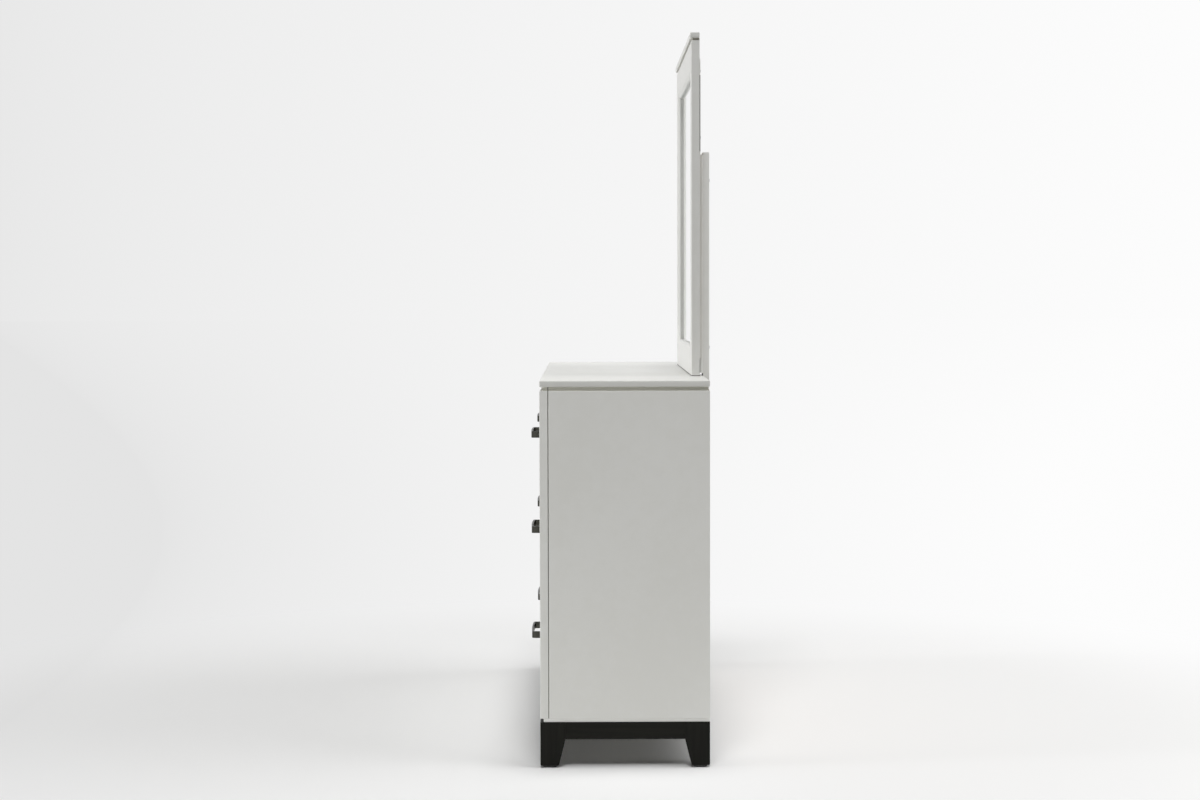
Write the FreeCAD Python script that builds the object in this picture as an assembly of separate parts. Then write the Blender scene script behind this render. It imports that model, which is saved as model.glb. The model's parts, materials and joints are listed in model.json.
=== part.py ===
"""Six-drawer dresser with a framed mirror standing on two rear posts.

Millimetres. +Z is up, the drawers open towards -Y and +X is on the right of someone who faces them.
While it is modelled, Y is zero at the front of the case. Each piece is moved to the part's own
origin, the middle of its footprint at floor level, when it is saved.
"""

import FreeCAD
import Part
import os
from FreeCAD import Vector

# The case
case_width = 1499.0
case_depth = 406.0
body_height = 784.0
top_thickness = 15.0
top_edge_chamfer = 1.5
sub_top_thickness = 9.0
sub_top_front_setback = 8.0
sub_top_side_setback = 6.0
sub_top_rear_setback = 4.0
floor_thickness = 9.0
floor_front_setback = 8.0
floor_side_setback = 3.0
side_thickness = 18.0
side_edge_chamfer = 1.2
seam_chamfer = 1.6
partition_thickness = 18.0
back_thickness = 4.0
back_lap = 9.0
rear_rail_height = 70.0
rear_rail_thickness = 18.0

# The face frame round the drawers
stile_width = 40.0
centre_stile_width = 30.0
frame_thickness = 20.5
frame_edge_chamfer = 1.0
frame_top_chamfer = 2.5
top_rail_height = 24.5
bottom_rail_height = 35.5
divider_rail_height = 20.0
lower_opening_height = 245.0
middle_opening_height = 245.0

# The black base
base_height = 110.0
foot_width = 60.0
foot_tip_width = 44.5
foot_edge_chamfer = 1.5
foot_bottom_chamfer = 2.5
apron_height = 41.0
apron_thickness = 20.0
stretcher_width = 60.0
stretcher_thickness = 20.0
glide_height = 5.0
glide_diameter = 34.0

# The drawers
front_thickness = 19.0
front_gap = 2.5
front_edge_chamfer = 1.5
board_thickness = 12.0
box_rear_clearance = 15.0
box_back_inset = 16.0
box_back_housing = 5.0
box_clearance_below = 12.0
box_clearance_above = 20.0
tail_count = 4
tail_width_share = 0.52
tail_flare = 2.0
joint_clearance = 0.1
bottom_thickness = 4.0
bottom_rise = 10.0
bottom_groove_depth = 5.0
bottom_edge_clearance = 0.5

# The steel runners and the battens behind them
runner_space = 13.0
runner_height = 35.0
runner_sheet = 1.2
runner_lip_clearance = 1.5
runner_running_clearance = 0.35
runner_rise = 62.0
runner_front_setback = 1.5
batten_height = 45.0

# The pulls
pull_length = 180.0
pull_height = 16.5
pull_projection = 27.5
pull_end_projection = 25.5
pull_strap_thickness = 4.5
pull_leg_width = 9.0
pull_outer_radius = 7.0
pull_inner_radius = 3.5

# The mirror
mirror_width = 924.0
mirror_frame_height = 834.0
mirror_frame_width = 76.0
mirror_frame_thickness = 20.0
mirror_lift = 0.6
mirror_bevel = 6.0
mirror_lip_thickness = 11.5
mirror_rebate = 9.0
glass_thickness = 5.0
glass_edge_clearance = 1.5
cap_height = 13.5
cap_front_overhang = 4.0
cap_side_overhang = 3.0
cap_edge_chamfer = 1.2
cap_neck_height = 6.0
cap_neck_setback = 3.0
backboard_thickness = 4.0
backboard_inset = 42.0

# The two posts behind the mirror
post_width = 66.0
post_thickness = 16.0
post_height = 967.0
post_inset = 48.0
post_edge_chamfer = 2.0
post_reach_below_top = 407.0
packing_thickness = 6.5
packing_end_distance = 6.0
packing_screw_distance = 64.0
post_screw_diameter = 5.0
post_screw_head_diameter = 11.0
post_screw_head_height = 2.8
post_screw_length = 38.0
post_screw_clearance = 0.1
crown_share = 0.65

# One overrun for every cut, and how close an edge must lie to a place to be picked there
cut_overrun = 5.0
pick_tolerance = 0.01
straight_share = 0.999

# Levels of the case, from the floor up
floor_top = base_height + floor_thickness
body_top = floor_top + body_height
sub_top_top = body_top + sub_top_thickness
dresser_top = sub_top_top + top_thickness
bottom_rail_top = floor_top + bottom_rail_height
lower_divider = bottom_rail_top + lower_opening_height
middle_opening = lower_divider + divider_rail_height
upper_divider = middle_opening + middle_opening_height
upper_opening = upper_divider + divider_rail_height
top_rail_bottom = body_top - top_rail_height

# Places across the case, from the middle outwards, and from its front to its back
half_width = case_width / 2
side_inner = half_width - side_thickness
opening_inner = centre_stile_width / 2
opening_outer = half_width - stile_width
opening_width = opening_outer - opening_inner
bay_centre = (opening_inner + opening_outer) / 2
partition_face = partition_thickness / 2
box_half_width = opening_width / 2 - runner_space
back_front = case_depth - back_thickness
rear_rail_front = back_front - rear_rail_thickness
box_front = front_thickness
box_rear = rear_rail_front - box_rear_clearance
box_length = box_rear - box_front
box_back_rear = box_rear - box_back_inset
box_back_front = box_back_rear - board_thickness

# The mirror and its posts
mirror_bottom = dresser_top + mirror_lift
mirror_frame_top = mirror_bottom + mirror_frame_height
cap_bottom = mirror_frame_top + cap_neck_height
mirror_half = mirror_width / 2
backboard_back = case_depth - packing_thickness
mirror_back = backboard_back - backboard_thickness
mirror_front = mirror_back - mirror_frame_thickness
glass_front = mirror_front + mirror_lip_thickness
glass_back = glass_front + glass_thickness
post_outer = mirror_half - post_inset
post_inner = post_outer - post_width
post_middle = (post_outer + post_inner) / 2
post_bottom = dresser_top - post_reach_below_top
post_top = post_bottom + post_height
post_back = case_depth + post_thickness
mirror_screw_x = (post_outer + mirror_half - mirror_frame_width) / 2
upper_rail_middle = body_top - rear_rail_height / 2
lower_rail_middle = post_bottom + rear_rail_height / 2
packing_bottom = mirror_bottom + packing_end_distance
packing_top = post_top - packing_end_distance
mirror_screw_heights = (packing_bottom + packing_screw_distance, packing_top - packing_screw_distance)

# The part's own origin, measured from the front of the case
origin_y = (post_back + post_screw_head_height - pull_projection) / 2

row_openings = {
    "lower": (bottom_rail_top, lower_divider),
    "middle": (middle_opening, upper_divider),
    "upper": (upper_opening, top_rail_bottom),
}
column_centres = {"left": -bay_centre, "right": bay_centre}


def block(x0, x1, y0, y1, z0, z1):
    """A box between two corners."""
    return Part.makeBox(x1 - x0, y1 - y0, z1 - z0, Vector(x0, y0, z0))


def prism(points, along):
    """A flat outline of straight edges, pushed along a vector."""
    corners = [Vector(*point) for point in points]
    return Part.Face(Part.makePolygon(corners + corners[:1])).extrude(along)


def bar(radius, y0, y1, x, z):
    """A round bar along Y."""
    return Part.makeCylinder(radius, y1 - y0, Vector(x, y0, z), Vector(0, 1, 0))


def mirrored(shape):
    """The same piece for the other side of the dresser."""
    return shape.mirror(Vector(0, 0, 0), Vector(1, 0, 0))


def pair(shape):
    """A piece and its twin on the other side."""
    return [shape, mirrored(shape)]


def edges_along(shape, axis, **places):
    """The straight edges along one axis whose middle lies at the given x, y or z."""
    found = []
    for edge in shape.Edges:
        if len(edge.Vertexes) < 2:
            continue
        run = edge.Vertexes[1].Point - edge.Vertexes[0].Point
        if abs(getattr(run, axis)) < run.Length * straight_share:
            continue
        middle = edge.CenterOfMass
        if all(abs(getattr(middle, name) - place) < pick_tolerance for name, place in places.items()):
            found.append(edge)
    return found


def save(name, solids):
    """Write one node, moved to the part's own origin."""
    shape = solids[0] if len(solids) == 1 else Part.makeCompound(solids)
    moved = shape.copy()
    moved.translate(Vector(0, -origin_y, 0))
    moved.exportStep("parts/" + name + ".step")


def top_panel():
    """The top board, with every edge eased."""
    board = block(-half_width, half_width, 0, case_depth, sub_top_top, dresser_top)
    return board.makeChamfer(top_edge_chamfer, board.Edges)


def sub_top():
    """The thin board under the top that leaves the shadow gap."""
    x = half_width - sub_top_side_setback
    rear = case_depth - sub_top_rear_setback
    return block(-x, x, sub_top_front_setback, rear, body_top, sub_top_top)


def side_panel():
    """The right side, chamfered at the seam behind the face frame and rebated for the back."""
    outline = [
        (side_inner, frame_thickness, floor_top),
        (half_width - seam_chamfer, frame_thickness, floor_top),
        (half_width, frame_thickness + seam_chamfer, floor_top),
        (half_width, case_depth, floor_top),
        (side_inner + back_lap, case_depth, floor_top),
        (side_inner + back_lap, back_front, floor_top),
        (side_inner, back_front, floor_top),
    ]
    panel = prism(outline, Vector(0, 0, body_height))
    return panel.makeChamfer(side_edge_chamfer, edges_along(panel, "y", x=half_width, z=body_top))


def centre_partition():
    """The upright between the two columns of drawers, notched round the two rear rails."""
    board = block(-partition_face, partition_face, frame_thickness, back_front, floor_top, body_top)
    return board.cut(Part.makeCompound(rear_rails()))


def case_floor():
    """The board under the case, set back above the base as a second shadow gap."""
    x = half_width - floor_side_setback
    return block(-x, x, floor_front_setback, case_depth, base_height, floor_top)


def back_panel():
    """The thin back, lying in the rebates of the sides and drilled for the post screws."""
    x = side_inner + back_lap
    board = block(-x, x, back_front, case_depth, floor_top, body_top)
    return board.cut(Part.makeCompound(post_screw_holes()))


def rear_rails():
    """Two rails across the back that take the screws of the mirror posts."""
    rails = []
    for middle in (upper_rail_middle, lower_rail_middle):
        low = middle - rear_rail_height / 2
        high = middle + rear_rail_height / 2
        rail = block(-side_inner, side_inner, rear_rail_front, back_front, low, high)
        rails.append(rail.cut(Part.makeCompound(post_screw_holes())))
    return rails


def end_stile():
    """The right upright of the face frame, which covers the front edge of the side panel."""
    outline = [
        (opening_outer, 0, floor_top),
        (half_width - frame_edge_chamfer, 0, floor_top),
        (half_width, frame_edge_chamfer, floor_top),
        (half_width, frame_thickness - seam_chamfer, floor_top),
        (half_width - seam_chamfer, frame_thickness, floor_top),
        (opening_outer, frame_thickness, floor_top),
    ]
    stile = prism(outline, Vector(0, 0, body_height))
    return stile.makeChamfer(frame_top_chamfer, edges_along(stile, "x", y=0, z=body_top))


def face_frame_stiles():
    """Both end stiles and the narrower one between the columns."""
    centre = block(-opening_inner, opening_inner, 0, frame_thickness, bottom_rail_top, top_rail_bottom)
    return pair(end_stile()) + [centre]


def face_frame_rails():
    """The top and bottom rails between the end stiles, and the four short dividers."""
    top = block(-opening_outer, opening_outer, 0, frame_thickness, top_rail_bottom, body_top)
    top = top.makeChamfer(frame_top_chamfer, edges_along(top, "x", y=0, z=body_top))
    bottom = block(-opening_outer, opening_outer, 0, frame_thickness, floor_top, bottom_rail_top)
    rails = [top, bottom]
    for low in (lower_divider, upper_divider):
        divider = block(opening_inner, opening_outer, 0, frame_thickness, low, low + divider_rail_height)
        rails += pair(divider)
    return rails


def foot_outline():
    """A foot's side view as distances in from its outer face and heights above the floor."""
    shoulder = base_height - apron_height
    return [
        (foot_bottom_chamfer, glide_height),
        (0, glide_height + foot_bottom_chamfer),
        (0, base_height),
        (foot_width, base_height),
        (foot_width, shoulder),
        (foot_tip_width, glide_height + foot_bottom_chamfer),
        (foot_tip_width - foot_bottom_chamfer, glide_height),
    ]


def foot():
    """The right front foot: upright outside, tapered on the two faces that look inwards."""
    across = prism([(half_width - depth, 0, z) for depth, z in foot_outline()], Vector(0, foot_width, 0))
    along = prism([(half_width, depth, z) for depth, z in foot_outline()], Vector(-foot_width, 0, 0))
    solid = across.common(along)
    return solid.makeChamfer(foot_edge_chamfer, edges_along(solid, "z", x=half_width, y=0))


def corner_set(shape):
    """A piece at the right front corner, and its three likenesses at the other corners."""
    rear = shape.mirror(Vector(0, case_depth / 2, 0), Vector(0, 1, 0))
    return pair(shape) + pair(rear)


def glide():
    """The plastic pad under a foot."""
    middle = foot_tip_width / 2
    return Part.makeCylinder(glide_diameter / 2, glide_height, Vector(half_width - middle, middle, 0))


def base_aprons():
    """The four boards between the feet."""
    low = base_height - apron_height
    run = half_width - foot_width
    front = block(-run, run, 0, apron_thickness, low, base_height)
    rear = block(-run, run, case_depth - apron_thickness, case_depth, low, base_height)
    inner = half_width - apron_thickness
    side = block(inner, half_width, foot_width, case_depth - foot_width, low, base_height)
    return [front, rear] + pair(side)


def base_stretcher():
    """The rail under the middle of the case, from the front apron to the rear one."""
    x = stretcher_width / 2
    rear = case_depth - apron_thickness
    return block(-x, x, apron_thickness, rear, base_height - stretcher_thickness, base_height)


def drawer_levels(row):
    """The lowest and highest points of a drawer's box."""
    low, high = row_openings[row]
    return low + box_clearance_below, high - box_clearance_above


def dovetail_tails(row, grow):
    """The tails at the front of a right-hand drawer side, grown all round for their sockets."""
    low, high = drawer_levels(row)
    pitch = (high - low) / tail_count
    tip = pitch * tail_width_share / 2 + grow
    root = tip - tail_flare
    x = box_half_width - board_thickness - grow
    shoulder = box_front + board_thickness
    tails = []
    for index in range(tail_count):
        middle = low + (index + 1 / 2) * pitch
        outline = [
            (x, box_front, middle - tip),
            (x, box_front, middle + tip),
            (x, shoulder, middle + root),
            (x, shoulder, middle - root),
        ]
        tails.append(prism(outline, Vector(board_thickness + 2 * grow, 0, 0)))
    return tails


def bottom_space(row, edge_clearance):
    """The room that a drawer's bottom takes in the grooves of its box."""
    low = drawer_levels(row)[0] + bottom_rise
    reach = board_thickness - bottom_groove_depth + edge_clearance
    x = box_half_width - reach
    return block(-x, x, box_front + reach, box_back_rear - reach, low, low + bottom_thickness)


def box_back(row):
    """The back board of a drawer's box, reaching into the housings of the sides."""
    x = box_half_width - board_thickness + box_back_housing
    return block(-x, x, box_back_front, box_back_rear, *drawer_levels(row))


def drawer_sides(row):
    """The two sides of a drawer's box: tails in front, a housing for the back, a groove for the bottom."""
    low, high = drawer_levels(row)
    inner = box_half_width - board_thickness
    board = block(inner, box_half_width, box_front + board_thickness, box_rear, low, high)
    board = board.fuse(dovetail_tails(row, 0)).removeSplitter()
    return pair(board.cut(Part.makeCompound([bottom_space(row, 0), box_back(row)])))


def drawer_ends(row):
    """The front board of a drawer's box, with sockets for the tails, and its back board."""
    low, high = drawer_levels(row)
    sockets = dovetail_tails(row, joint_clearance)
    sockets += [mirrored(socket) for socket in sockets]
    groove = bottom_space(row, 0)
    front = block(-box_half_width, box_half_width, box_front, box_front + board_thickness, low, high)
    return [front.cut(Part.makeCompound(sockets + [groove])), box_back(row).cut(groove)]


def drawer_front(row):
    """The board that closes the opening, its face edges eased."""
    low, high = row_openings[row]
    x = opening_width / 2 - front_gap
    board = block(-x, x, 0, front_thickness, low + front_gap, high - front_gap)
    face_edges = edges_along(board, "x", y=0) + edges_along(board, "z", y=0)
    return board.makeChamfer(front_edge_chamfer, face_edges)


def pull(row):
    """A bowed strap on two legs, its corners rounded."""
    end = pull_length / 2
    leg = end - pull_leg_width
    strap = pull_strap_thickness
    low = sum(row_openings[row]) / 2 - pull_height / 2
    outer = [(-end, 0), (-end, -pull_end_projection), (0, -pull_projection)]
    outer += [(end, -pull_end_projection), (end, 0)]
    inner = [(leg, 0), (leg, strap - pull_end_projection), (0, strap - pull_projection)]
    inner += [(-leg, strap - pull_end_projection), (-leg, 0)]
    o = [Vector(x, y, low) for x, y in outer]
    i = [Vector(x, y, low) for x, y in inner]
    edges = [
        Part.makeLine(o[0], o[1]),
        Part.Arc(o[1], o[2], o[3]).toShape(),
        Part.makeLine(o[3], o[4]),
        Part.makeLine(o[4], i[0]),
        Part.makeLine(i[0], i[1]),
        Part.Arc(i[1], i[2], i[3]).toShape(),
        Part.makeLine(i[3], i[4]),
        Part.makeLine(i[4], o[0]),
    ]
    solid = Part.Face(Part.Wire(edges)).extrude(Vector(0, 0, pull_height))
    solid = solid.makeFillet(pull_inner_radius, edges_along(solid, "z", y=strap - pull_end_projection))
    return solid.makeFillet(pull_outer_radius, edges_along(solid, "z", y=-pull_end_projection))


def channel(web_x, reach, height, z, y0, y1):
    """A steel channel along Y: its web at web_x, its flanges reaching across by the signed reach."""
    sheet = runner_sheet if reach > 0 else -runner_sheet
    tip = web_x + reach
    low = z - height / 2
    high = z + height / 2
    outline = [
        (web_x, y0, low),
        (tip, y0, low),
        (tip, y0, low + runner_sheet),
        (web_x + sheet, y0, low + runner_sheet),
        (web_x + sheet, y0, high - runner_sheet),
        (tip, y0, high - runner_sheet),
        (tip, y0, high),
        (web_x, y0, high),
    ]
    return prism(outline, Vector(0, y1 - y0, 0))


def runner_middle(row):
    """The height of a drawer's runners."""
    return row_openings[row][0] + runner_rise


def case_runner_pair(row):
    """The outer channels of one drawer, on the edges of its opening."""
    y0 = box_front + runner_front_setback
    x = opening_width / 2
    reach = runner_space - runner_lip_clearance
    return pair(channel(x, -reach, runner_height, runner_middle(row), y0, y0 + box_length))


def drawer_runners(row):
    """The inner channels, on the sides of the drawer's box and nested in the outer ones."""
    reach = runner_space - runner_sheet - runner_lip_clearance
    height = runner_height - 2 * (runner_sheet + runner_running_clearance)
    y0 = box_front + runner_front_setback
    return pair(channel(box_half_width, reach, height, runner_middle(row), y0, box_rear))


def case_runners():
    """The outer channels of all six drawers."""
    runners = []
    for row in row_openings:
        for x in column_centres.values():
            runners += [at_column(member, x) for member in case_runner_pair(row)]
    return runners


def runner_battens():
    """The battens that bring the sides and the partition level with the face frame's openings."""
    battens = []
    for row in row_openings:
        low = runner_middle(row) - batten_height / 2
        high = low + batten_height
        for x0, x1 in ((opening_outer, side_inner), (partition_face, opening_inner)):
            battens += pair(block(x0, x1, frame_thickness, rear_rail_front, low, high))
    return battens


def at_column(shape, x):
    """A piece of a drawer, moved to its column."""
    moved = shape.copy()
    moved.translate(Vector(x, 0, 0))
    return moved


def mirror_frame_piece(half_length):
    """A piece of the mirror frame along Z, its outer edge at the right, mitred at both ends."""
    outer = mirror_half
    inner = outer - mirror_frame_width
    section = [
        (outer, mirror_front, -half_length),
        (outer, mirror_back, -half_length),
        (inner + mirror_rebate, mirror_back, -half_length),
        (inner + mirror_rebate, glass_front, -half_length),
        (inner, glass_front, -half_length),
        (inner, mirror_front + mirror_bevel, -half_length),
        (inner + mirror_bevel, mirror_front, -half_length),
    ]
    piece = prism(section, Vector(0, 0, 2 * half_length))
    for end in (-1, 1):
        corner = end * half_length
        over = mirror_frame_width + cut_overrun
        wedge = [
            (outer + cut_overrun, mirror_front - cut_overrun, corner + end * cut_overrun),
            (outer - over, mirror_front - cut_overrun, corner + end * cut_overrun),
            (outer - over, mirror_front - cut_overrun, corner - end * over),
        ]
        depth = mirror_frame_thickness + 2 * cut_overrun
        piece = piece.cut(prism(wedge, Vector(0, depth, 0)))
    return piece


def mirror_middle():
    """The height of the middle of the mirror frame."""
    return mirror_bottom + mirror_frame_height / 2


def mirror_stiles():
    """The two uprights of the mirror frame, drilled for the post screws."""
    stile = mirror_frame_piece(mirror_frame_height / 2)
    stile.translate(Vector(0, 0, mirror_middle()))
    return pair(stile.cut(Part.makeCompound(post_screw_holes())))


def mirror_rails():
    """The top and bottom of the mirror frame."""
    piece = mirror_frame_piece(mirror_half)
    piece.translate(Vector(mirror_frame_height / 2 - mirror_half, 0, 0))
    rails = []
    for turn in (90, -90):
        rail = piece.copy()
        rail.rotate(Vector(0, 0, 0), Vector(0, 1, 0), turn)
        rail.translate(Vector(0, 0, mirror_middle()))
        rails.append(rail)
    return rails


def mirror_cap():
    """The moulding along the top of the mirror, standing proud of a thin neck."""
    neck_x = mirror_half - cap_neck_setback
    neck_front = mirror_front + cap_neck_setback
    neck = block(-neck_x, neck_x, neck_front, mirror_back, mirror_frame_top, cap_bottom)
    x = mirror_half + cap_side_overhang
    cap = block(-x, x, mirror_front - cap_front_overhang, mirror_back, cap_bottom, cap_bottom + cap_height)
    cap = cap.makeChamfer(cap_edge_chamfer, cap.Edges)
    return cap.fuse(neck).removeSplitter()


def glass_half_sizes():
    """Half the width and height of the glass, which lies in the frame's rebate."""
    lap = mirror_frame_width - mirror_rebate + glass_edge_clearance
    return mirror_half - lap, mirror_frame_height / 2 - lap


def mirror_glass():
    """The silvered glass."""
    x, z = glass_half_sizes()
    middle = mirror_middle()
    return block(-x, x, glass_front, glass_back, middle - z, middle + z)


def mirror_backboard():
    """A filler board behind the glass, and the cover board on the back of the frame."""
    x, z = glass_half_sizes()
    middle = mirror_middle()
    filler = block(-x, x, glass_back, mirror_back, middle - z, middle + z)
    x = mirror_half - backboard_inset
    z = mirror_frame_height / 2 - backboard_inset
    cover = block(-x, x, mirror_back, backboard_back, middle - z, middle + z)
    return [filler, cover.cut(Part.makeCompound(post_screw_holes()))]


def post_screw_places():
    """Where the screws of both posts go in: x and z."""
    places = [(mirror_screw_x, z) for z in mirror_screw_heights]
    places += [(post_middle, upper_rail_middle), (post_middle, lower_rail_middle)]
    return places + [(-x, z) for x, z in places]


def post_screw_holes():
    """The holes for the post screws."""
    radius = post_screw_diameter / 2 + post_screw_clearance
    tip = post_back - post_screw_length - post_screw_clearance
    return [bar(radius, tip, post_back + cut_overrun, x, z) for x, z in post_screw_places()]


def post_screws():
    """The pan-head screws that hold the posts to the mirror and to the case."""
    rim = post_screw_head_diameter / 2
    screws = []
    for x, z in post_screw_places():
        shank = bar(post_screw_diameter / 2, post_back - post_screw_length, post_back, x, z)
        seat = Vector(x, post_back, z)
        head = Part.makeCone(rim, rim * crown_share, post_screw_head_height, seat, Vector(0, 1, 0))
        screws.append(shank.fuse(head))
    return screws


def mirror_posts():
    """The two posts behind the mirror and the case, their rear edges eased."""
    post = block(post_inner, post_outer, case_depth, post_back, post_bottom, post_top)
    eased = edges_along(post, "z", y=post_back) + edges_along(post, "x", y=post_back)
    post = post.makeChamfer(post_edge_chamfer, eased)
    return pair(post.cut(Part.makeCompound(post_screw_holes())))


def post_packings():
    """The packing strips between the posts and the back of the mirror."""
    strip = block(post_inner, post_outer, backboard_back, case_depth, packing_bottom, packing_top)
    return pair(strip.cut(Part.makeCompound(post_screw_holes())))


def save_case():
    """Write the pieces of the case and its base."""
    right = side_panel()
    save("top_panel", [top_panel()])
    save("sub_top", [sub_top()])
    save("side_panel_right", [right])
    save("side_panel_left", [mirrored(right)])
    save("centre_partition", [centre_partition()])
    save("case_floor", [case_floor()])
    save("back_panel", [back_panel()])
    save("rear_rails", rear_rails())
    save("face_frame_stiles", face_frame_stiles())
    save("face_frame_rails", face_frame_rails())
    save("runner_battens", runner_battens())
    save("case_runners", case_runners())
    save("base_aprons", base_aprons())
    save("base_stretcher", [base_stretcher()])
    save("feet", corner_set(foot()))
    save("foot_glides", corner_set(glide()))


def save_drawers():
    """Write the six drawers, each of six nodes."""
    for row in row_openings:
        pieces = {
            "front": [drawer_front(row)],
            "box_sides": drawer_sides(row),
            "box_ends": drawer_ends(row),
            "bottom": [bottom_space(row, bottom_edge_clearance)],
            "runners": drawer_runners(row),
            "pull": [pull(row)],
        }
        for column, x in column_centres.items():
            for piece, solids in pieces.items():
                save("_".join(("drawer", row, column, piece)), [at_column(solid, x) for solid in solids])


def save_mirror():
    """Write the mirror and the posts that carry it."""
    save("mirror_stiles", mirror_stiles())
    save("mirror_rails", mirror_rails())
    save("mirror_cap", [mirror_cap()])
    save("mirror_glass", [mirror_glass()])
    save("mirror_backboard", mirror_backboard())
    save("mirror_posts", mirror_posts())
    save("post_packings", post_packings())
    save("post_screws", post_screws())


os.makedirs("parts", exist_ok=True)
save_case()
save_drawers()
save_mirror()
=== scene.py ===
import bmesh
import bpy
import json
import math
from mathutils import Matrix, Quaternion, Vector

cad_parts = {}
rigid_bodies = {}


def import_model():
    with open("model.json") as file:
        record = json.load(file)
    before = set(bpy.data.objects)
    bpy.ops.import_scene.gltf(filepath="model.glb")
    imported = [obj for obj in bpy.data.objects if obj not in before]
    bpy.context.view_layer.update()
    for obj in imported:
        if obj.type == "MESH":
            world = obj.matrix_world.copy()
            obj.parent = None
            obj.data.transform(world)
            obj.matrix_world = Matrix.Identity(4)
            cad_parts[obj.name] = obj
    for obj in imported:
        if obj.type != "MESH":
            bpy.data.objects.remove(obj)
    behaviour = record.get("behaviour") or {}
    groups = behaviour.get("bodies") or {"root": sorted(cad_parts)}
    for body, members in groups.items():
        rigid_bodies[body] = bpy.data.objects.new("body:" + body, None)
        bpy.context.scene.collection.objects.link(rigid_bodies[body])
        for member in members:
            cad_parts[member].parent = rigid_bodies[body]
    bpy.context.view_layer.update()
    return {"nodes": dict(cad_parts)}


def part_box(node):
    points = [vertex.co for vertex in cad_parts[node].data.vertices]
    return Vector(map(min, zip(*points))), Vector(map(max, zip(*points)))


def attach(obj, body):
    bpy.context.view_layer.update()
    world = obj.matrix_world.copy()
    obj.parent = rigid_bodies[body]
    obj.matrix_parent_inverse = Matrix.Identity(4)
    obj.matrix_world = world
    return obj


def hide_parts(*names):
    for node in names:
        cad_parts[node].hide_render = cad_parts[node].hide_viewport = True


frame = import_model()
nodes = frame["nodes"]
scene = bpy.context.scene
rows = ("lower", "middle", "upper")
columns = ("left", "right")
millimetre = 0.001


def addObject(name, data):
    piece = bpy.data.objects.new(name, data)
    scene.collection.objects.link(piece)
    return piece


# Camera: square on the right end of the dresser, a little above its top
cameraSizes = {
    "place": (6.2852, -0.0875, 1.1367),
    "downDegrees": 2.642,
    "turnDegrees": 0.345,
    "rollDegrees": -0.136,
    "lens": 69.98,
    "filmWidth": 36.0,
}


def makeCamera(sizes):
    data = bpy.data.cameras.new("studioCamera")
    data.lens = sizes["lens"]
    data.sensor_width = sizes["filmWidth"]
    down = math.radians(sizes["downDegrees"])
    turn = math.radians(sizes["turnDegrees"])
    roll = Quaternion((0, 0, 1), math.radians(sizes["rollDegrees"]))
    level = math.cos(down)
    forward = Vector((-math.cos(turn) * level, math.sin(turn) * level, -math.sin(down)))
    piece = addObject("studioCamera", data)
    piece.location = sizes["place"]
    piece.rotation_euler = (forward.to_track_quat("-Z", "Y") @ roll).to_euler()
    scene.camera = piece


makeCamera(cameraSizes)
scene.view_settings.view_transform = "Standard"


# Node trees: Wire is one socket in an expression, Net adds every other node
class Wire:
    def __init__(self, tree, socket):
        self.tree = tree
        self.socket = socket

    def maths(self, operation, first, second=None, clamp=False):
        node = self.tree.nodes.new("ShaderNodeMath")
        node.operation = operation
        node.use_clamp = clamp
        for slot, given in zip(node.inputs, (first, second)):
            if isinstance(given, Wire):
                self.tree.links.new(given.socket, slot)
            elif given is not None:
                slot.default_value = given
        return Wire(self.tree, node.outputs[0])

    def __add__(self, other):
        return self.maths("ADD", self, other)

    def __radd__(self, other):
        return self.maths("ADD", other, self)

    def __sub__(self, other):
        return self.maths("SUBTRACT", self, other)

    def __rsub__(self, other):
        return self.maths("SUBTRACT", other, self)

    def __mul__(self, other):
        return self.maths("MULTIPLY", self, other)

    def __rmul__(self, other):
        return self.maths("MULTIPLY", other, self)

    def __truediv__(self, other):
        return self.maths("DIVIDE", self, other)

    def __rtruediv__(self, other):
        return self.maths("DIVIDE", other, self)

    def __pow__(self, other):
        return self.maths("POWER", self, other)

    def __gt__(self, other):
        return self.maths("GREATER_THAN", self, other)

    def __lt__(self, other):
        return self.maths("LESS_THAN", self, other)

    def __abs__(self):
        return self.maths("ABSOLUTE", self)

    def sine(self):
        return self.maths("SINE", self)

    def kept(self):
        return self.maths("ADD", self, 0.0, clamp=True)  # held between 0 and 1

    def swing(self):
        return self - 0.5  # a noise, taken from its middle


def socketNamed(sockets, name):
    if isinstance(name, int):
        return sockets[name]
    for one in sockets:
        if one.identifier == name:
            return one
    return sockets[name]


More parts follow.
